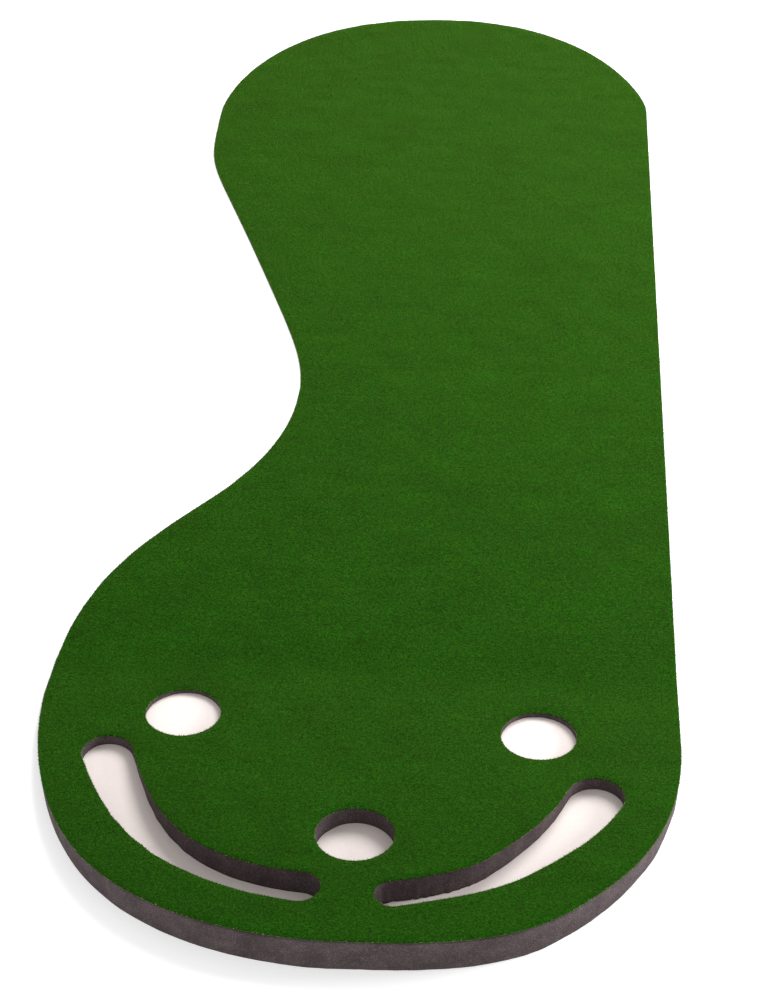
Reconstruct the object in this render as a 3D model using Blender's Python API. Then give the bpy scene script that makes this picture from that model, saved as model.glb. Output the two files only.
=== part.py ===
"""Practice putting mat: a kidney-shaped turf sheet on a foam wedge, with three cups and two sand traps.

Frame: metres, +Z up. The origin is on the floor under the middle of the mat. +Y runs along the mat's
straight side, from the raised cup end (-Y) to the flat putting end (+Y), and +X points to that straight side.
"""

import math

import bmesh
import bpy
import numpy as np
from mathutils import Vector
from mathutils.geometry import interpolate_bezier

# Overall sizes
LENGTH = 2.743  # 9 ft
WIDTH = 0.914  # 3 ft
RAMP_RISE = 0.050  # how far the turf sheet climbs from the flat part to the front edge, 2 in
RAMP_LENGTH = 0.560  # from the front edge to where the ramp meets the floor

# Thicknesses, from the floor up
BASE_THICKNESS = 0.0010
WEDGE_TOE_THICKNESS = 0.0015
NON_CREASE_THICKNESS = 0.0015  # it lies under the flat part only, and meets the wedge's toe
TURF_BACKING_THICKNESS = 0.0009
PILE_THICKNESS = 0.0030
GLUE_GAP = 0.0003  # room for the adhesive film between two pieces

# The sheet bends from flat to ramp over this much each side of the ramp's foot
BEND_REACH = 0.030
BEND_STEPS = 6

# Cups: regulation 4.25 in holes
CUP_DIAMETER = 0.108
FRONT_CUP_OFF_CENTRE = 0.013
FRONT_CUP_FROM_FRONT = 0.209
LEFT_CUP_FROM_SIDE = 0.206
LEFT_CUP_FROM_FRONT = 0.459
RIGHT_CUP_FROM_SIDE = 0.200
RIGHT_CUP_FROM_FRONT = 0.440
CUP_SEGMENTS = 64

# Sand traps follow the mat's edge. Each station is the distance along the edge from the middle of
# the front, the width of turf left outside the trap, and the width of the trap.
LEFT_TRAP = ((0.066, 0.069, 0.058), (0.250, 0.073, 0.054), (0.450, 0.071, 0.063), (0.602, 0.059, 0.072))
RIGHT_TRAP = ((0.078, 0.067, 0.050), (0.280, 0.086, 0.056), (0.450, 0.076, 0.072), (0.562, 0.064, 0.080))
TRAP_STEPS = 24
TRAP_END_STEPS = 10

# The outline, anticlockwise from the middle of the front edge. Each knot has its place (across in half
# widths, along in lengths), its heading in degrees from +X, and its handles before and after it in lengths.
OUTLINE = (
    (0.000, 0.000, 0, 0.022, 0.080),
    (0.755, 0.044, 47, 0.038, 0.035),
    (1.000, 0.160, 90, 0.055, 0.000),
    (1.000, 0.857, 90, 0.000, 0.024),
    (0.088, 1.000, 180, 0.115, 0.138),
    (-0.897, 0.835, 270, 0.033, 0.095),
    (-0.580, 0.616, 289, 0.164, 0.086),
    (-0.350, 0.472, 270, 0.035, 0.069),
    (-0.656, 0.345, 233, 0.016, 0.047),
    (-1.000, 0.182, 270, 0.088, 0.009),
    (-0.656, 0.035, 321, 0.073, 0.051),
)
KNOT_STEPS = 10

CUTTER_REACH = 0.020  # how far a cutter runs past what it cuts

FRONT_Y = -LENGTH / 2
RAMP_SLOPE = RAMP_RISE / RAMP_LENGTH
STACK_TOP = RAMP_RISE + NON_CREASE_THICKNESS + TURF_BACKING_THICKNESS + PILE_THICKNESS + 2 * GLUE_GAP


def clear_scene():
    for obj in list(bpy.data.objects):
        bpy.data.objects.remove(obj, do_unlink=True)


def new_collection(name, hidden=False):
    made = bpy.data.collections.new(name)
    bpy.context.scene.collection.children.link(made)
    made.hide_render = hidden
    return made


def new_material(name, colour, roughness, metallic=0.0):
    made = bpy.data.materials.new(name)
    made.use_nodes = True
    shader = made.node_tree.nodes["Principled BSDF"]
    shader.inputs["Base Color"].default_value = (*colour, 1.0)
    shader.inputs["Roughness"].default_value = roughness
    shader.inputs["Metallic"].default_value = metallic
    return made


def outline_segments():
    """Each stretch between two knots as a list of points, without its last one."""
    knots = []
    for across, along, heading, before, after in OUTLINE:
        place = Vector((across * WIDTH / 2, FRONT_Y + along * LENGTH, 0))
        way = Vector((math.cos(math.radians(heading)), math.sin(math.radians(heading)), 0))
        knots.append((place - way * before * LENGTH, place, place + way * after * LENGTH))
    segments = []
    for start, end in zip(knots, knots[1:] + knots[:1]):
        straight = start[2] == start[1] and end[0] == end[1]
        steps = 1 if straight else KNOT_STEPS
        points = interpolate_bezier(start[1], start[2], end[0], end[1], steps + 1)
        segments.append([(p.x, p.y) for p in points[:-1]])
    return segments


def outline_points():
    return [point for segment in outline_segments() for point in segment]


def edge_from_front(clockwise):
    """The outline from the middle of the front edge, with the distance along it to each point."""
    points = outline_points()
    if clockwise:
        points = points[:1] + points[:0:-1]
    path = np.array(points)
    steps = np.hypot(*np.diff(path, axis=0).T)
    return path, np.concatenate([[0], np.cumsum(steps)])


def trap_outline(stations, clockwise):
    """A closed outline through its stations, which keep to the mat's edge. Its ends are round."""
    path, travelled = edge_from_front(clockwise)
    at, margin, width = np.array(stations).T
    along = np.linspace(at[0], at[-1], TRAP_STEPS)
    smooth = len(stations) - 1
    margins = np.polyval(np.polyfit(at, margin, smooth), along)
    halves = np.polyval(np.polyfit(at, width, smooth), along) / 2
    edge = np.column_stack([np.interp(along, travelled, path[:, axis]) for axis in (0, 1)])
    heading = np.gradient(edge, axis=0)
    heading /= np.hypot(*heading.T)[:, None]
    inward = np.column_stack([-heading[:, 1], heading[:, 0]])
    if clockwise:
        inward = -inward
    middle = edge + inward * (margins + halves)[:, None]
    outer = middle - inward * halves[:, None]
    inner = middle + inward * halves[:, None]
    turns = np.linspace(0, math.pi, TRAP_END_STEPS + 1)[1:-1, None]
    far_end = middle[-1] + halves[-1] * (-inward[-1] * np.cos(turns) + heading[-1] * np.sin(turns))
    near_end = middle[0] + halves[0] * (inward[0] * np.cos(turns) - heading[0] * np.sin(turns))
    return np.concatenate([outer, far_end, inner[::-1], near_end])


def mesh_from_outline(name, points, half_depth):
    """A closed mesh: the outline filled in its XY plane and extruded half_depth each way."""
    flat = bpy.data.curves.new(name, "CURVE")
    flat.dimensions = "2D"
    flat.fill_mode = "BOTH"
    flat.extrude = half_depth
    spline = flat.splines.new("POLY")
    spline.points.add(len(points) - 1)
    for slot, (x, y) in zip(spline.points, points):
        slot.co = (x, y, 0, 1)
    spline.use_cyclic_u = True
    guide = bpy.data.objects.new(name, flat)
    bpy.context.scene.collection.objects.link(guide)
    evaluated = guide.evaluated_get(bpy.context.evaluated_depsgraph_get())
    mesh = bpy.data.meshes.new_from_object(evaluated)
    bpy.data.objects.remove(guide)
    bpy.data.curves.remove(flat)
    built = bmesh.new()
    built.from_mesh(mesh)
    bmesh.ops.remove_doubles(built, verts=built.verts, dist=0.00001)
    bmesh.ops.recalc_face_normals(built, faces=built.faces)
    built.to_mesh(mesh)
    built.free()
    return mesh


def upright_cutter(name, points, cutters):
    """A column over the outline, from below the floor to above the turf."""
    half_depth = STACK_TOP / 2 + CUTTER_REACH
    cutter = bpy.data.objects.new(name, mesh_from_outline(name, points, half_depth))
    cutter.location.z = STACK_TOP / 2
    cutters.objects.link(cutter)
    cutter.hide_render = True
    cutter.display_type = "WIRE"
    return cutter


def cup_cutter(name, across, from_front, cutters):
    column = bmesh.new()
    radius = CUP_DIAMETER / 2
    depth = STACK_TOP + 2 * CUTTER_REACH
    bmesh.ops.create_cone(
        column, cap_ends=True, segments=CUP_SEGMENTS, radius1=radius, radius2=radius, depth=depth
    )
    mesh = bpy.data.meshes.new(name)
    column.to_mesh(mesh)
    column.free()
    cutter = bpy.data.objects.new(name, mesh)
    cutter.location = (across, FRONT_Y + from_front, STACK_TOP / 2)
    cutters.objects.link(cutter)
    cutter.hide_render = True
    cutter.display_type = "WIRE"
    return cutter


def hole_cutters(cutters):
    side = WIDTH / 2
    return [
        cup_cutter("front_cup_cut", FRONT_CUP_OFF_CENTRE, FRONT_CUP_FROM_FRONT, cutters),
        cup_cutter("left_cup_cut", LEFT_CUP_FROM_SIDE - side, LEFT_CUP_FROM_FRONT, cutters),
        cup_cutter("right_cup_cut", side - RIGHT_CUP_FROM_SIDE, RIGHT_CUP_FROM_FRONT, cutters),
        upright_cutter("left_trap_cut", trap_outline(LEFT_TRAP, clockwise=True), cutters),
        upright_cutter("right_trap_cut", trap_outline(RIGHT_TRAP, clockwise=False), cutters),
    ]


def ramp_height(from_front):
    """How far the turf sheet has climbed: a ramp, a soft bend at its foot, then nothing."""
    before_foot = RAMP_LENGTH - from_front
    if before_foot >= BEND_REACH:
        return RAMP_SLOPE * before_foot
    if before_foot <= -BEND_REACH:
        return 0.0
    return RAMP_SLOPE * (before_foot + BEND_REACH) ** 2 / (4 * BEND_REACH)


def stations_between(start, end):
    """Distances from the front where a side view has its corners: both ends and the bend between them."""
    bend = np.linspace(RAMP_LENGTH - BEND_REACH, RAMP_LENGTH + BEND_REACH, BEND_STEPS + 1)
    return [start, *(s for s in bend if start < s < end), end]


def sheet_profile(low, high, start):
    """Side view of a layer that lies low to high above the ramp, as (along, up) points."""
    stations = stations_between(start, LENGTH + CUTTER_REACH)
    lower = [(FRONT_Y + s, ramp_height(s) + low) for s in stations]
    upper = [(FRONT_Y + s, ramp_height(s) + high) for s in stations]
    return lower + upper[::-1]


def toe_from_front():
    """Where the wedge has thinned to its toe, a little before the ramp's foot."""
    climb = BASE_THICKNESS + GLUE_GAP + WEDGE_TOE_THICKNESS - NON_CREASE_THICKNESS
    return RAMP_LENGTH + BEND_REACH - math.sqrt(4 * BEND_REACH * climb / RAMP_SLOPE)


def wedge_profile():
    bottom = BASE_THICKNESS + GLUE_GAP
    stations = stations_between(-CUTTER_REACH, toe_from_front())
    upper = [(FRONT_Y + s, ramp_height(s) + NON_CREASE_THICKNESS) for s in stations]
    return [(upper[0][0], bottom), (upper[-1][0], bottom)] + upper[::-1]


def base_profile():
    near, far = FRONT_Y - CUTTER_REACH, FRONT_Y + toe_from_front()
    return [(near, 0), (far, 0), (far, BASE_THICKNESS), (near, BASE_THICKNESS)]


def layer(name, profile, outline, holes, material, parts, frame):
    """One layer of the mat: its side view drawn across the width, cut to the outline and the holes."""
    half_width = WIDTH / 2 + CUTTER_REACH
    obj = bpy.data.objects.new(name, mesh_from_outline(name, profile, half_width))
    obj.rotation_euler = (math.pi / 2, 0, math.pi / 2)
    obj.parent = frame
    parts.objects.link(obj)
    obj.data.materials.append(material)
    trim = obj.modifiers.new("trim to outline", "BOOLEAN")
    trim.operation = "INTERSECT"
    trim.solver = "EXACT"
    trim.object = outline
    for hole in holes:
        cut = obj.modifiers.new("cut " + hole.name, "BOOLEAN")
        cut.operation = "DIFFERENCE"
        cut.solver = "EXACT"
        cut.object = hole
    return obj


def build_mat():
    clear_scene()
    parts = new_collection("Practice putting mat")
    cutters = new_collection("Cutters", hidden=True)
    frame = bpy.data.objects.new("mat_frame", None)
    parts.objects.link(frame)

    outline = upright_cutter("mat_outline", outline_points(), cutters)
    holes = hole_cutters(cutters)

    turf_backing_low = NON_CREASE_THICKNESS + GLUE_GAP
    turf_backing_top = turf_backing_low + TURF_BACKING_THICKNESS
    pile_low = turf_backing_top + GLUE_GAP
    pile_top = pile_low + PILE_THICKNESS

    white_fleece = new_material("White needled fleece", (0.86, 0.84, 0.83), 0.9)
    grey_foam = new_material("Grey polyethylene foam", (0.080, 0.063, 0.065), 0.85)
    grey_sheet = new_material("Grey foam sheet", (0.11, 0.09, 0.092), 0.85)
    latex_backing = new_material("Latexed polyester backing", (0.42, 0.41, 0.36), 0.9)
    green_pile = new_material("Green polypropylene pile", (0.020, 0.085, 0.006), 0.9)

    def add(name, profile, cuts, material):
        layer(name, profile, outline, cuts, material, parts, frame)

    behind_toe = toe_from_front() + GLUE_GAP
    before_front = -CUTTER_REACH
    add("base_sheet", base_profile(), [], white_fleece)
    add("foam_wedge", wedge_profile(), holes, grey_foam)
    add("non_crease_backing", sheet_profile(0, NON_CREASE_THICKNESS, behind_toe), [], grey_sheet)
    add("turf_backing", sheet_profile(turf_backing_low, turf_backing_top, before_front), holes, latex_backing)
    add("turf_pile", sheet_profile(pile_low, pile_top, before_front), holes, green_pile)


build_mat()
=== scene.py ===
import math

import bpy
import numpy as np
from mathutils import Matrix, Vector
from mathutils.geometry import delaunay_2d_cdt


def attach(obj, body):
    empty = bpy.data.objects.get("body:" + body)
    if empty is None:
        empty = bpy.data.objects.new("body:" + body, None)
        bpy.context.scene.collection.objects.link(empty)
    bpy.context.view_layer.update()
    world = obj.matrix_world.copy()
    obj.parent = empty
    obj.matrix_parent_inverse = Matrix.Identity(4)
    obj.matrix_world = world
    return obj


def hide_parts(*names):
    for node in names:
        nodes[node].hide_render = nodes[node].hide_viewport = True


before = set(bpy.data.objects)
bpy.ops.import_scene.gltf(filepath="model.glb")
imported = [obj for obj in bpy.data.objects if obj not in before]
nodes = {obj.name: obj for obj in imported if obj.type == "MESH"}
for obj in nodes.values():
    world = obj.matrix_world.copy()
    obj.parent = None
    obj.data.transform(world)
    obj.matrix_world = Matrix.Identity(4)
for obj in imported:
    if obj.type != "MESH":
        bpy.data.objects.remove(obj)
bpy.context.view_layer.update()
body = "root"
print("frame loaded:", ", ".join(sorted(nodes)))


# small helpers for nodes, materials and pieces
def linear(hexColour):
    parts = [int(hexColour[i:i + 2], 16) / 255 for i in (1, 3, 5)]
    return tuple(c / 12.92 if c < 0.04045 else ((c + 0.055) / 1.055) ** 2.4 for c in parts) + (1.0,)


def addNode(tree, kind, links=None, **settings):
    # settings go by attribute or input name, and links are {input name or number: source socket}
    made = tree.nodes.new(kind)
    for name, value in settings.items():
        if hasattr(made, name):
            setattr(made, name, value)
        else:
            made.inputs[name.replace("_", " ")].default_value = value
    for name, source in (links or {}).items():
        tree.links.new(source, made.inputs[name])
    return made


def newMaterial(name):
    made = bpy.data.materials.new(name)
    made.use_nodes = True
    tree = made.node_tree
    return made, tree, tree.nodes["Principled BSDF"]


def newPiece(name, mesh, material, slotName, *replaced):
    piece = bpy.data.objects.new(name, mesh)
    bpy.context.scene.collection.objects.link(piece)
    mesh.materials.clear()
    mesh.materials.append(material)
    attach(piece, body)
    if replaced:
        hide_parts(*replaced)
    return piece


# a face counts as level when the upward part of its unit normal is above this
levelShare = 0.7


# reading a layer's outlines and heights from the frame
def layerFaces(nodeName):
    mesh = nodes[nodeName].data
    mesh.calc_loop_triangles()
    points = np.empty(len(mesh.vertices) * 3, np.float32)
    mesh.vertices.foreach_get("co", points)
    corners = np.empty(len(mesh.loop_triangles) * 3, np.int32)
    mesh.loop_triangles.foreach_get("vertices", corners)
    points, same = np.unique(points.reshape(-1, 3).round(5), axis=0, return_inverse=True)
    return points, same.reshape(-1)[corners].reshape(-1, 3)


def facing(nodeName, up):
    # the layer's points, and its faces that look up (up=1) or down (up=-1)
    points, faces = layerFaces(nodeName)
    a, b, c = (points[faces[:, i]] for i in range(3))
    normals = np.cross(b - a, c - a)
    lengths = np.linalg.norm(normals, axis=1)
    return points, faces[up * normals[:, 2] > levelShare * np.maximum(lengths, 1e-12)]


def rimLoops(nodeName):
    # closed loops round the layer's top, the mat's outline first
    points, flat = facing(nodeName, 1)
    edges = {(int(f[i]), int(f[(i + 1) % 3])) for f in flat for i in range(3)}
    following = {start: end for start, end in sorted(edges) if (end, start) not in edges}
    loops = []
    while following:
        start, at = following.popitem()
        loop = [start]
        while at != start:
            loop.append(at)
            at = following.pop(at)
        loops.append(points[loop])
    return sorted(loops, key=lambda loop: -np.ptp(loop[:, 1]))


def heightAlong(nodeName, up):
    # the layer's height as a function of y, because each layer bends only along the mat
    points, flat = facing(nodeName, up)
    used = points[np.unique(flat)]
    order = np.argsort(used[:, 1], kind="stable")
    y, z = used[order, 1], used[order, 2]
    return lambda at: np.interp(at, y, z)


outlineLook = {
    "longestStraight": 0.06,
    "hardCorner": 35,  # degrees
    "stepsBetween": 10,
    "rimStep": 0.004,
}


def smoothLoop(loop, step):
    # the same outline as an even, rounder line: Catmull-Rom through its corners, with hard corners kept
    flat = loop[:, :2].astype(float)
    dense, hard = [], []
    for before, here, there in zip(np.roll(flat, 1, axis=0), flat, np.roll(flat, -1, axis=0)):
        gap = np.linalg.norm(there - here)
        if gap < 1e-4:
            continue
        turn = math.degrees(abs(Vector(here - before).angle_signed(Vector(there - here), 0)))
        cuts = max(1, int(gap / outlineLook["longestStraight"]))
        dense += [here + (there - here) * i / cuts for i in range(cuts)]
        hard += [turn > outlineLook["hardCorner"]] + [False] * (cuts - 1)
    dense = np.array(dense)
    fine, count = [], len(dense)
    times = np.linspace(0, 1, outlineLook["stepsBetween"], endpoint=False)[:, None]
    for i in range(count):
        p0, p1, p2, p3 = (dense[(i + j) % count] for j in (-1, 0, 1, 2))
        if hard[i]:
            p0 = 2 * p1 - p2
        if hard[(i + 1) % count]:
            p3 = 2 * p2 - p1
        fine.append(0.5 * (2 * p1 + (p2 - p0) * times + (2 * p0 - 5 * p1 + 4 * p2 - p3) * times ** 2
                           + (3 * p1 - p0 - 3 * p2 + p3) * times ** 3))
    fine = np.vstack(fine)
    closed = np.vstack([fine, fine[:1]])
    travelled = np.concatenate([[0], np.cumsum(np.linalg.norm(np.diff(closed, axis=0), axis=1))])
    number = max(12, int(round(travelled[-1] / step)))
    at = np.linspace(0, travelled[-1], number, endpoint=False)
    return np.column_stack([np.interp(at, travelled, closed[:, i]) for i in (0, 1)])


def outwards(loop):
    # unit vectors pointing out of the solid, whichever way round the loop runs
    way = np.roll(loop, -1, axis=0) - np.roll(loop, 1, axis=0)
    way /= np.maximum(np.linalg.norm(way, axis=1, keepdims=True), 1e-9)
    return np.column_stack([way[:, 1], -way[:, 0]])


def insideLoop(points, loop):
    x, y = points[:, 0], points[:, 1]
    inside = np.zeros(len(points), bool)
    for (x0, y0), (x1, y1) in zip(loop, np.roll(loop, -1, axis=0)):
        low, high = min(y0, y1), max(y0, y1)
        near = np.nonzero((y >= low) & (y < high))[0]
        if len(near):
            inside[near] ^= x[near] < (x1 - x0) * (y[near] - y0) / (y1 - y0) + x0
    return inside


def insideAll(points, loops):
    keep = insideLoop(points, loops[0])
    for hole in loops[1:]:
        keep &= ~insideLoop(points, hole)
    return keep


def planOf(loops, spacing, seed):
    # flat triangles between the loops, with their corners on a jittered grid
    jitter, crowded = 0.2, 0.5  # shares of the spacing
    rng = np.random.default_rng(seed)
    low, high = loops[0].min(axis=0), loops[0].max(axis=0)
    across, along = (np.arange(low[i], high[i], spacing) for i in (0, 1))
    grid = np.stack(np.meshgrid(across, along), -1)
    grid[1::2, :, 0] += spacing / 2
    grid = grid.reshape(-1, 2) + rng.uniform(-jitter, jitter, (grid.size // 2, 2)) * spacing
    grid = grid[insideAll(grid, loops)]
    rim = np.concatenate(loops)
    cell = spacing * crowded  # grid points that crowd the rim are dropped
    marks = {tuple(k) for k in np.floor(rim / cell).astype(int)}
    around = [(a, b) for a in (-1, 0, 1) for b in (-1, 0, 1)]
    cells = np.floor(grid / cell).astype(int)
    clear = [not any((i + a, j + b) in marks for a, b in around) for i, j in cells]
    grid = grid[clear]
    edges, first = [], 0
    for loop in loops:
        edges += [(first + i, first + (i + 1) % len(loop)) for i in range(len(loop))]
        first += len(loop)
    places = np.vstack([rim, grid])
    made = delaunay_2d_cdt([Vector(p) for p in places], edges, [], 0, 1e-9)
    flat, faces = np.array([tuple(v) for v in made[0]]), np.array(made[2])
    faces = faces[insideAll(flat[faces].mean(axis=1), loops)]
    a, b, c = (flat[faces[:, i]] for i in range(3))
    u, v = b - a, c - a
    turned = u[:, 0] * v[:, 1] - u[:, 1] * v[:, 0] < 0
    faces[turned] = faces[turned][:, ::-1]
    return flat, faces


def slabMesh(name, loops, top, bottom, spacing, seed, walls):
    # a closed sheet or block: walls is a list of (share of the height from the top, push outwards) rows,
    # where the push is a number or a function of (loop number, points, height) giving one per point
    flat, faces = planOf(loops, spacing, seed)
    count = sum(len(loop) for loop in loops)
    inner = flat[count:]
    corners, polygons = [], []

    def layer(rim, height, flip):
        start = sum(len(block) for block in corners)
        plan = np.vstack([rim, inner])
        corners.append(np.column_stack([plan, height(plan)]))
        polygons.extend((faces[:, ::-1] if flip else faces) + start)
        return start

    rims = []
    for share, push in walls:
        rim = []
        for number, loop in enumerate(loops):
            high, low = top(loop), bottom(loop)
            height = high + (low - high) * share
            away = push(number, loop, height) if callable(push) else np.full(len(loop), push)
            rim.append(np.column_stack([loop + outwards(loop) * away[:, None], height]))
        rims.append(np.vstack(rim))
    firstTop = layer(rims[0][:, :2], top, False)
    corners[-1][:count, 2] = rims[0][:, 2]
    between = []
    for rim in rims[1:-1]:
        between.append(sum(len(block) for block in corners))
        corners.append(rim)
    firstBottom = layer(rims[-1][:, :2], bottom, True)
    corners[-1][:count, 2] = rims[-1][:, 2]
    starts = [firstTop, *between, firstBottom]
    first = 0
    quads = []
    for loop in loops:
        here = first + np.arange(len(loop))
        there = first + (np.arange(len(loop)) + 1) % len(loop)
        for upper, lower in zip(starts, starts[1:]):
            quads.append(np.column_stack([upper + here, lower + here, lower + there, upper + there]))
        first += len(loop)
    mesh = bpy.data.meshes.new(name)
    points = np.vstack(corners)
    level = [list(map(int, f)) for f in polygons]
    mesh.from_pydata(points.tolist(), [], level + np.vstack(quads).tolist())
    mesh.validate()
    mesh.update()
    mesh.shade_smooth()
    return mesh


def smoothNoise(points, size, seed):
    # a soft random value from -1 to 1 over 2-D points, with features about size metres across
    rng = np.random.default_rng(seed)
    waves, shortest, longest = 14, 0.7, 1.8  # lengths as shares of the size
    angles = rng.uniform(0, 2 * math.pi, waves)
    lengths = size * rng.uniform(shortest, longest, waves)
    shifts = rng.uniform(0, 2 * math.pi, waves)
    total = np.zeros(len(points))
    for angle, length, shift in zip(angles, lengths, shifts):
        along = points[:, 0] * math.cos(angle) + points[:, 1] * math.sin(angle)
        total += np.sin(2 * math.pi * along / length + shift)
    return total / math.sqrt(waves)


print("helpers ready")

# Turf pile: fine polypropylene fibres, tufted and sheared short. It gives a dark matt green, with lighter
# flecks where fibre tips catch the light and faint rows across the mat.
pileLook = {
    "gap": "#052402",
    "shade": "#093603",
    "middle": "#0e4303",
    "light": "#195207",
    "tip": "#3a6819",
    # painted highlight: the pale tips of the fibres on the cut edges stand for light caught along the rims
    "rimHighlightTip": "#b3b878",
    "sheen": "#d9fa6c",
    "sheenWeight": 0.42,
    "sheenRoughness": 0.4,
    "gloss": 0.02,
    "roughness": 0.9,
    "fleckSize": 0.0027,  # real fibres are 0.3 mm, drawn coarser so that they show
    "patchSize": 0.10,
    "patchDepth": 0.1,
    "rowSpacing": 0.014,
    "rowDepth": 0.06,
    "bumpDepth": 0.0010,
    "gridSpacing": 0.010,
    "wave": 0.0003,
    "waveSize": 0.05,
    "fibreRoots": 0.0012,  # how far the pile's solid lies below its fibre tips
}


def pileTone(tree, place):
    # slow changes of tone over the mat: soft patches, and rows across it from the tufting needles
    patches = addNode(tree, "ShaderNodeTexNoise", {"Vector": place},
                      Scale=1 / pileLook["patchSize"], Detail=2.0)
    acrossRows = addNode(tree, "ShaderNodeMapping", {"Vector": place}, Scale=(0.1, 1.0, 1.0))
    rows = addNode(tree, "ShaderNodeTexNoise", {"Vector": acrossRows.outputs[0]},
                   Scale=1 / pileLook["rowSpacing"], Detail=2.0)
    patchTone = addNode(tree, "ShaderNodeMapRange", {"Value": patches.outputs["Fac"]},
                        From_Min=0.3, From_Max=0.7,
                        To_Min=1 - pileLook["patchDepth"], To_Max=1 + pileLook["patchDepth"])
    rowTone = addNode(tree, "ShaderNodeMapRange", {"Value": rows.outputs["Fac"]},
                      From_Min=0.3, From_Max=0.7,
                      To_Min=1 - pileLook["rowDepth"], To_Max=1 + pileLook["rowDepth"])
    tone = addNode(tree, "ShaderNodeMath", {0: patchTone.outputs[0], 1: rowTone.outputs[0]},
                   operation="MULTIPLY")
    return tone.outputs[0]


def finishPile(tree, shader, colour, tone):
    toned = addNode(tree, "ShaderNodeVectorMath", {0: colour, "Scale": tone}, operation="SCALE")
    tree.links.new(toned.outputs[0], shader.inputs["Base Color"])
    shader.inputs["Roughness"].default_value = pileLook["roughness"]
    shader.inputs["Specular IOR Level"].default_value = pileLook["gloss"]
    shader.inputs["Sheen Weight"].default_value = pileLook["sheenWeight"]
    shader.inputs["Sheen Roughness"].default_value = pileLook["sheenRoughness"]
    shader.inputs["Sheen Tint"].default_value = linear(pileLook["sheen"])


def rampOf(tree, source, stops):
    made = addNode(tree, "ShaderNodeValToRGB", {"Fac": source})
    ramp = made.color_ramp
    ramp.elements[0].position, ramp.elements[0].color = stops[0][0], linear(stops[0][1])
    ramp.elements[1].position, ramp.elements[1].color = stops[-1][0], linear(stops[-1][1])
    for position, colour in stops[1:-1]:
        ramp.elements.new(position).color = linear(colour)
    return made.outputs[0]


def pileMaterial():
    material, tree, shader = newMaterial("Tufted polypropylene pile")
    place = addNode(tree, "ShaderNodeTexCoord").outputs["Object"]
    tone = pileTone(tree, place)
    flecks = addNode(tree, "ShaderNodeTexNoise", {"Vector": place},
                     Scale=1 / pileLook["fleckSize"], Detail=3.0, Roughness=0.6)
    colour = rampOf(tree, flecks.outputs["Fac"], [
        (0.32, pileLook["gap"]), (0.45, pileLook["shade"]),
        (0.55, pileLook["middle"]), (0.7, pileLook["light"])])
    finishPile(tree, shader, colour, tone)
    bump = addNode(tree, "ShaderNodeBump", {"Height": flecks.outputs["Fac"]},
                   Strength=0.7, Distance=pileLook["bumpDepth"])
    tree.links.new(bump.outputs[0], shader.inputs["Normal"])
    return material


def fibreMaterial(name, tip):
    material, tree, shader = newMaterial(name)
    tone = pileTone(tree, addNode(tree, "ShaderNodeTexCoord").outputs["Object"])
    own = addNode(tree, "ShaderNodeAttribute", attribute_name="tone")
    colour = rampOf(tree, own.outputs["Fac"], [
        (0.0, pileLook["shade"]), (0.4, pileLook["middle"]), (0.8, pileLook["light"]), (1.0, tip)])
    finishPile(tree, shader, colour, tone)
    return material


# Turf backing: woven polyester soaked in latex. It gives a thin dark line under the pile, with a few dull
# threads showing; both its colours are darker than the backing's own, as painted shade of the pile's
# overhang.
backingLook = {
    "latexAndShade": "#34302e",
    "threadAndShade": "#5a554c",
    "threadSpacing": 0.0016,
    "roughness": 0.9,
    "bumpDepth": 0.0004,
    "gridSpacing": 0.03,
}


def backingMaterial():
    material, tree, shader = newMaterial("Latexed polyester weave")
    place = addNode(tree, "ShaderNodeTexCoord")
    noise = addNode(tree, "ShaderNodeTexNoise", {"Vector": place.outputs["Object"]},
                    Scale=1 / backingLook["threadSpacing"], Detail=3.0)
    mix = addNode(tree, "ShaderNodeMix", {"Factor": noise.outputs["Fac"]}, data_type="RGBA")
    # painted shade: the backing's two colours are darkened to stand for the pile's shadow along its edge
    mix.inputs[6].default_value = linear(backingLook["latexAndShade"])
    mix.inputs[7].default_value = linear(backingLook["threadAndShade"])
    tree.links.new(mix.outputs[2], shader.inputs["Base Color"])
    bump = addNode(tree, "ShaderNodeBump", {"Height": noise.outputs["Fac"]},
                   Strength=0.6, Distance=backingLook["bumpDepth"])
    tree.links.new(bump.outputs[0], shader.inputs["Normal"])
    shader.inputs["Roughness"].default_value = backingLook["roughness"]
    return material


# Foam: grey-brown cross-linked polyethylene, sliced with a blade. It gives matt sides with fine cells and
# faint upright marks where the blade ran.
foamLook = {
    "dark": "#352b2d",
    "base": "#473c3e",
    "light": "#605355",
    "cell": 0.0018,
    "sheetCell": 0.0015,
    "cellShare": 0.5,  # how much of the tone comes from the cells, the rest being patches
    "patch": 0.03,
    "bladeMark": 0.003,
    "cellDepth": 0.0005,
    "markDepth": 0.0006,
    "roughness": 0.85,
    "gloss": 0.3,
    "gridSpacing": 0.020,
    "sheetGridSpacing": 0.03,
    "rows": 12,
    "bladeWobble": 0.0005,
    "coarseSize": 0.09,
    "fineSize": 0.022,
    "fineWobble": 0.35,  # as a share of the wobble
    "cutBack": 1.4,  # how far the cut stays inside the turf's edge, in wobbles
    "nickDepth": 0.0024,
    "nickReach": 0.16,
}


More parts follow.
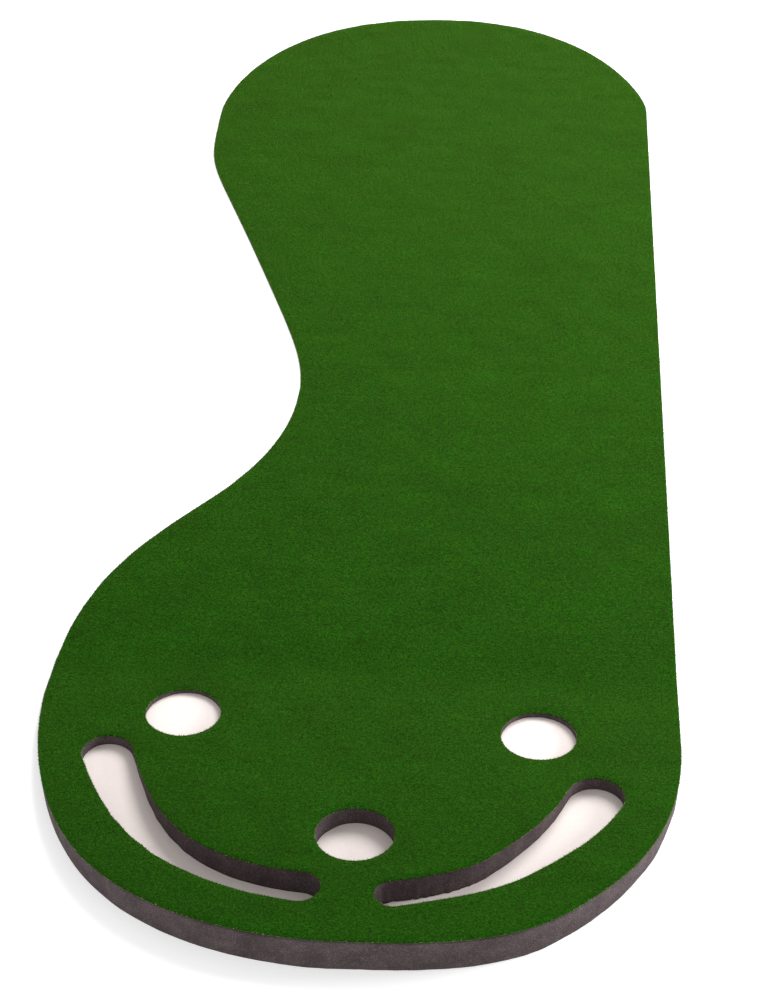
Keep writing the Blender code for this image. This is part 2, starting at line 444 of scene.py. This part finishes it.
def foamMaterial(name, cellSize):
    material, tree, shader = newMaterial(name)
    place = addNode(tree, "ShaderNodeTexCoord")
    cells = addNode(tree, "ShaderNodeTexVoronoi", {"Vector": place.outputs["Object"]}, Scale=1 / cellSize)
    patches = addNode(tree, "ShaderNodeTexNoise", {"Vector": place.outputs["Object"]},
                      Scale=1 / foamLook["patch"], Detail=4.0, Roughness=0.6)
    upright = addNode(tree, "ShaderNodeMapping", {"Vector": place.outputs["Object"]},
                      Scale=(1.0, 1.0, 0.05))
    marks = addNode(tree, "ShaderNodeTexNoise", {"Vector": upright.outputs[0]},
                    Scale=1 / foamLook["bladeMark"], Detail=2.0)
    both = addNode(tree, "ShaderNodeMix", {2: patches.outputs["Fac"], 3: cells.outputs["Distance"]},
                   data_type="FLOAT")
    both.inputs[0].default_value = foamLook["cellShare"]
    colour = rampOf(tree, both.outputs[0], [
        (0.3, foamLook["dark"]), (0.5, foamLook["base"]), (0.7, foamLook["light"])])
    tree.links.new(colour, shader.inputs["Base Color"])
    cellBump = addNode(tree, "ShaderNodeBump", {"Height": cells.outputs["Distance"]},
                       Strength=0.35, Distance=foamLook["cellDepth"])
    markBump = addNode(tree, "ShaderNodeBump",
                       {"Height": marks.outputs["Fac"], "Normal": cellBump.outputs[0]},
                       Strength=0.25, Distance=foamLook["markDepth"])
    tree.links.new(markBump.outputs[0], shader.inputs["Normal"])
    shader.inputs["Roughness"].default_value = foamLook["roughness"]
    shader.inputs["Specular IOR Level"].default_value = foamLook["gloss"]
    return material


# Base sheet: white needled polyester fleece. It gives a bright soft white with tangled fibres.
fleeceLook = {
    "white": "#f0e5e1",
    "shade": "#ddd2cd",
    "fibre": 0.003,
    "roughness": 0.95,
    "bumpDepth": 0.0004,
    "gridSpacing": 0.012,
    "wave": 0.00008,
    "waveSize": 0.03,
    "rimInset": 0.002,
}


def fleeceMaterial():
    material, tree, shader = newMaterial("White needled fleece")
    place = addNode(tree, "ShaderNodeTexCoord")
    fibres = addNode(tree, "ShaderNodeTexNoise", {"Vector": place.outputs["Object"]},
                     Scale=1 / fleeceLook["fibre"], Detail=4.0, Distortion=1.5)
    mix = addNode(tree, "ShaderNodeMix", {"Factor": fibres.outputs["Fac"]}, data_type="RGBA")
    mix.inputs[6].default_value = linear(fleeceLook["shade"])
    mix.inputs[7].default_value = linear(fleeceLook["white"])
    tree.links.new(mix.outputs[2], shader.inputs["Base Color"])
    bump = addNode(tree, "ShaderNodeBump", {"Height": fibres.outputs["Fac"]},
                   Strength=0.3, Distance=fleeceLook["bumpDepth"])
    tree.links.new(bump.outputs[0], shader.inputs["Normal"])
    shader.inputs["Roughness"].default_value = fleeceLook["roughness"]
    return material


# the five layers, each in the space of its CAD solid
def layerOf(nodeName):
    top, bottom = heightAlong(nodeName, 1), heightAlong(nodeName, -1)
    loops = [smoothLoop(loop, outlineLook["rimStep"]) for loop in rimLoops(nodeName)]
    return loops, lambda p: top(p[:, 1]), lambda p: bottom(p[:, 1])


def makePile():
    loops, top, bottom = layerOf("turf_pile")
    wave, waveSize = pileLook["wave"], pileLook["waveSize"]

    def wavy(p):
        return top(p) + wave * smoothNoise(p, waveSize, 3) - wave - pileLook["fibreRoots"]

    rows = [(0, -0.0009), (0.12, -0.0002), (0.45, 0.0), (1, 0.0)]  # a rounded upper edge
    mesh = slabMesh("turfPile", loops, wavy, bottom, pileLook["gridSpacing"], 5, rows)
    return newPiece("turfPile", mesh, pileMaterial(), "turf_pile", "turf_pile")


def makeBacking():
    loops, top, bottom = layerOf("turf_backing")
    rows = [(0, -0.0008), (0.5, -0.0005), (1, -0.0009)]  # a little way in, under the pile
    mesh = slabMesh("turfBacking", loops, top, bottom, backingLook["gridSpacing"], 7, rows)
    return newPiece("turfBacking", mesh, backingMaterial(), "turf_backing", "turf_backing")


def makeFoam():
    loops, top, bottom = layerOf("foam_wedge")
    size = foamLook["bladeWobble"]
    rightTrap = max((1, 2), key=lambda number: loops[number][:, 0].mean())

    def nicks(points, height):
        # short ridges where a second cut was needed, deepest at the foot of the trap's inner end
        share = (top(points) - height) / (top(points) - bottom(points))
        near = np.clip(1 - (points[:, 0] - points[:, 0].min()) / foamLook["nickReach"], 0, 1)
        ridges = np.random.default_rng(31).uniform(-1, 0.4, len(points))
        return foamLook["nickDepth"] * share * np.sqrt(near) * ridges

    def wobble(number, points, height):
        # the blade drifts in and out a little along its way
        along = np.column_stack([points.sum(axis=1) + 3.1 * number, height * 1.6])
        coarse = smoothNoise(along, foamLook["coarseSize"], 11) * size
        fine = smoothNoise(along, foamLook["fineSize"], 13) * size * foamLook["fineWobble"]
        cut = coarse + fine - foamLook["cutBack"] * size
        return cut + nicks(points, height) if number == rightTrap else cut

    rows = [(share, wobble) for share in np.linspace(0, 1, foamLook["rows"])]
    mesh = slabMesh("foamWedge", loops, top, bottom, foamLook["gridSpacing"], 9, rows)
    foam = foamMaterial("Cut grey polyethylene foam", foamLook["cell"])
    return newPiece("foamWedge", mesh, foam, "foam_wedge", "foam_wedge")


def makeFoamSheet():
    loops, top, bottom = layerOf("non_crease_backing")
    rows = [(0, 0.0), (1, 0.0)]
    mesh = slabMesh("foamSheet", loops, top, bottom, foamLook["sheetGridSpacing"], 15, rows)
    foam = foamMaterial("Grey foam sheet", foamLook["sheetCell"])
    return newPiece("foamSheet", mesh, foam, "non_crease_backing", "non_crease_backing")


def makeBase():
    loops, top, bottom = layerOf("base_sheet")
    wave, waveSize = fleeceLook["wave"], fleeceLook["waveSize"]

    def wavy(p):
        return top(p) + wave * smoothNoise(p, waveSize, 21) - wave

    rows = [(0, -fleeceLook["rimInset"]), (1, -fleeceLook["rimInset"])]
    mesh = slabMesh("baseSheet", loops, wavy, bottom, fleeceLook["gridSpacing"], 17, rows)
    return newPiece("baseSheet", mesh, fleeceMaterial(), "base_sheet", "base_sheet")


# Fibres of the pile: one tree grows slim three-sided blades from any surface, upright on the top and
# leaning out from the cut edges
fibreLook = {
    "length": 0.0021,
    "rootRadius": 0.00034,  # a bundle of real fibres, thick enough to show
    "perSquareMetre": 200000,
    "edgePerSquareMetre": 700000,
    "lean": 0.75,
    "edgeLean": 0.8,
    "upwards": 0.6,  # how strongly a fibre on a cut edge turns up
    "smallest": 0.65,
    "largest": 1.2,
    "bands": 7,
    "seed": 4,
}


def fibreTree(material):
    tree = bpy.data.node_groups.new("pileFibres", "GeometryNodeTree")
    tree.is_modifier = True
    tree.interface.new_socket("Geometry", in_out="OUTPUT", socket_type="NodeSocketGeometry")
    tree.interface.new_socket("Surface", in_out="INPUT", socket_type="NodeSocketGeometry")
    for name, kind, value in (("Density", "Float", 1000.0), ("Length", "Float", 0.002),
                              ("Root Radius", "Float", 0.0004), ("Lean", "Float", 0.5), ("Seed", "Int", 0)):
        socket = tree.interface.new_socket(name, in_out="INPUT", socket_type="NodeSocket" + kind)
        socket.default_value = value
    asked = addNode(tree, "NodeGroupInput").outputs
    roots = addNode(tree, "GeometryNodeDistributePointsOnFaces",
                    {"Mesh": asked["Surface"], "Density": asked["Density"], "Seed": asked["Seed"]})
    tone = addNode(tree, "FunctionNodeRandomValue", {"Seed": asked["Seed"]}, data_type="FLOAT")
    kept = addNode(tree, "GeometryNodeStoreNamedAttribute",
                   {"Geometry": roots.outputs["Points"], "Value": tone.outputs[1]},
                   data_type="FLOAT", domain="POINT", Name="tone")
    sideways = addNode(tree, "FunctionNodeRandomValue", {"Seed": asked["Seed"]}, data_type="FLOAT_VECTOR")
    sideways.inputs[0].default_value = (-1, -1, 0.2)
    sideways.inputs[1].default_value = (1, 1, 1)
    swayed = addNode(tree, "ShaderNodeVectorMath", {0: sideways.outputs[0], "Scale": asked["Lean"]},
                     operation="SCALE")
    grown = addNode(tree, "ShaderNodeVectorMath", {0: swayed.outputs[0], 1: roots.outputs["Normal"]},
                    operation="ADD")
    up = addNode(tree, "ShaderNodeVectorMath", {0: grown.outputs[0]}, operation="ADD")
    up.inputs[1].default_value = (0, 0, fibreLook["upwards"])
    turn = addNode(tree, "FunctionNodeAlignRotationToVector", {"Vector": up.outputs[0]}, axis="Z")
    blade = addNode(tree, "GeometryNodeMeshCone",
                    {"Radius Bottom": asked["Root Radius"], "Depth": asked["Length"]},
                    fill_type="NONE", Vertices=3, Side_Segments=1, Radius_Top=0.0)
    size = addNode(tree, "FunctionNodeRandomValue", {"Seed": asked["Seed"]}, data_type="FLOAT")
    size.inputs[2].default_value = fibreLook["smallest"]
    size.inputs[3].default_value = fibreLook["largest"]
    blades = addNode(tree, "GeometryNodeInstanceOnPoints",
                     {"Points": kept.outputs[0], "Instance": blade.outputs["Mesh"],
                      "Rotation": turn.outputs[0], "Scale": size.outputs[1]})
    real = addNode(tree, "GeometryNodeRealizeInstances", {"Geometry": blades.outputs[0]})
    finished = addNode(tree, "GeometryNodeSetMaterial", {"Geometry": real.outputs[0]})
    finished.inputs["Material"].default_value = material
    addNode(tree, "NodeGroupOutput", {"Geometry": finished.outputs[0]})
    return tree


def setInputs(modifier, **values):
    sockets = {item.name: item.identifier for item in modifier.node_group.interface.items_tree}
    for name, value in values.items():
        modifier[sockets[name.replace("_", " ")]] = value


def growFibres(name, tree, points, faces, density, lean, seed):
    ground = bpy.data.meshes.new(name + "Ground")
    ground.from_pydata(points.tolist(), [], faces.tolist())
    holder = bpy.data.objects.new(name + "Ground", ground)
    bpy.context.scene.collection.objects.link(holder)
    modifier = holder.modifiers.new("fibres", "NODES")
    modifier.node_group = tree
    setInputs(modifier, Density=float(density), Length=fibreLook["length"],
              Root_Radius=fibreLook["rootRadius"], Lean=lean, Seed=seed)
    made = holder.evaluated_get(bpy.context.evaluated_depsgraph_get())
    mesh = bpy.data.meshes.new_from_object(made)
    mesh.name = name
    bpy.data.objects.remove(holder)
    bpy.data.meshes.remove(ground)
    # a map seen from above, because fibres are too many to unfold one by one
    corners = np.empty(len(mesh.loops), np.int32)
    mesh.loops.foreach_get("vertex_index", corners)
    places = np.empty(len(mesh.vertices) * 3, np.float32)
    mesh.vertices.foreach_get("co", places)
    places = places.reshape(-1, 3)[:, :2]
    low, high = places.min(axis=0), places.max(axis=0)
    seen = ((places - low) / (high - low))[corners]
    mesh.uv_layers.new(name="OFBake").data.foreach_set("uv", seen.ravel())
    print(name, len(mesh.polygons), "faces")
    return newPiece(name, mesh, tree.nodes["Set Material"].inputs["Material"].default_value, "turf_pile")


def makeFibres(pile):
    mesh = pile.data
    points = np.empty(len(mesh.vertices) * 3, np.float32)
    mesh.vertices.foreach_get("co", points)
    points = points.reshape(-1, 3)
    mesh.calc_loop_triangles()
    faces = np.empty(len(mesh.loop_triangles) * 3, np.int32)
    mesh.loop_triangles.foreach_get("vertices", faces)
    faces = faces.reshape(-1, 3)
    a, b, c = (points[faces[:, i]] for i in range(3))
    normals = np.cross(b - a, c - a)
    normals /= np.maximum(np.linalg.norm(normals, axis=1, keepdims=True), 1e-12)
    tree = fibreTree(fibreMaterial("Green polypropylene fibre", pileLook["tip"]))
    # the cut-edge fibres end in a pale painted highlight, for light caught along the rims
    edgeTree = fibreTree(fibreMaterial("Green fibre at the cut edge", pileLook["rimHighlightTip"]))
    pieces = []
    top = faces[normals[:, 2] > levelShare]
    across = points[top].mean(axis=1)[:, 1]
    cuts = np.quantile(across, np.linspace(0, 1, fibreLook["bands"] + 1))
    for band in range(fibreLook["bands"]):
        part = top[(across >= cuts[band]) & (across < cuts[band + 1] + (band + 1 == fibreLook["bands"]))]
        pieces.append(growFibres(f"turfFibres{band + 1}", tree, points, part, fibreLook["perSquareMetre"],
                                 fibreLook["lean"], fibreLook["seed"] + band))
    edge = faces[np.abs(normals[:, 2]) <= levelShare]
    pieces.append(growFibres("turfEdgeFibres", edgeTree, points, edge, fibreLook["edgePerSquareMetre"],
                             fibreLook["edgeLean"], fibreLook["seed"] + 20))
    return pieces


pile = makePile()
fibres = makeFibres(pile)
print("pile and fibres made")
backing = makeBacking()
foam = makeFoam()
foamSheet = makeFoamSheet()
base = makeBase()
print("layers made")

# floor, lights and camera
studio = {
    "floor": "#e6e6e6",
    "floorHalfSide": 30,
    "floorGlow": 0.46,
    "skyStrength": 0.68,
    "lights": (  # name, place, target, power, size
        ("topSoftbox", (1.2, 1.4, 2.9), (0.2, 0.0, 0.0), 137, 2.2),
        ("sideSoftbox", (2.9, -0.5, 1.1), (0.2, -1.0, 0.0), 76, 1.2),
    ),
    "cameraPlace": (0.189, -3.4375, 2.3141),
    "cameraTurn": (52.99, -0.16, 3.52),
    "lens": 86.06,
}


def aim(obj, target):
    obj.rotation_euler = (Vector(target) - obj.location).to_track_quat("-Z", "Y").to_euler()


def areaLight(name, place, target, power, size):
    lamp = bpy.data.lights.new(name, "AREA")
    lamp.shape, lamp.size, lamp.energy = "DISK", size, power
    holder = bpy.data.objects.new(name, lamp)
    holder.location = place
    aim(holder, target)
    bpy.context.scene.collection.objects.link(holder)


floorMesh = bpy.data.meshes.new("studioFloor")
side = studio["floorHalfSide"]
corners = [(-side, -side, 0), (side, -side, 0), (side, side, 0), (-side, side, 0)]
floorMesh.from_pydata(corners, [], [(0, 1, 2, 3)])
floor = bpy.data.objects.new("studioFloor", floorMesh)
bpy.context.scene.collection.objects.link(floor)
floorMaterial, _, floorShader = newMaterial("White studio floor")
floorShader.inputs["Base Color"].default_value = linear(studio["floor"])
floorShader.inputs["Roughness"].default_value = 0.9
floorShader.inputs["Specular IOR Level"].default_value = 0.0
floorShader.inputs["Emission Color"].default_value = (1, 1, 1, 1)
floorShader.inputs["Emission Strength"].default_value = studio["floorGlow"]
floorMesh.materials.append(floorMaterial)

# the sky lights softly, and is as white as the floor where the camera sees it
world = bpy.data.worlds.new("studio")
world.use_nodes = True
sky = world.node_tree.nodes["Background"]
sky.inputs["Color"].default_value = (1, 1, 1, 1)
seen = addNode(world.node_tree, "ShaderNodeLightPath").outputs["Is Camera Ray"]
strength = addNode(world.node_tree, "ShaderNodeMapRange", {"Value": seen}, To_Min=studio["skyStrength"])
world.node_tree.links.new(strength.outputs[0], sky.inputs["Strength"])
bpy.context.scene.world = world
bpy.context.scene.view_settings.view_transform = "Standard"
for light in studio["lights"]:
    areaLight(*light)

cameraData = bpy.data.cameras.new("camera")
cameraData.lens = studio["lens"]
cameraData.sensor_width = 36
camera = bpy.data.objects.new("camera", cameraData)
camera.location = studio["cameraPlace"]
camera.rotation_mode = "XYZ"
camera.rotation_euler = [math.radians(a) for a in studio["cameraTurn"]]
bpy.context.scene.collection.objects.link(camera)
bpy.context.scene.camera = camera
print("floor, lights and camera ready")
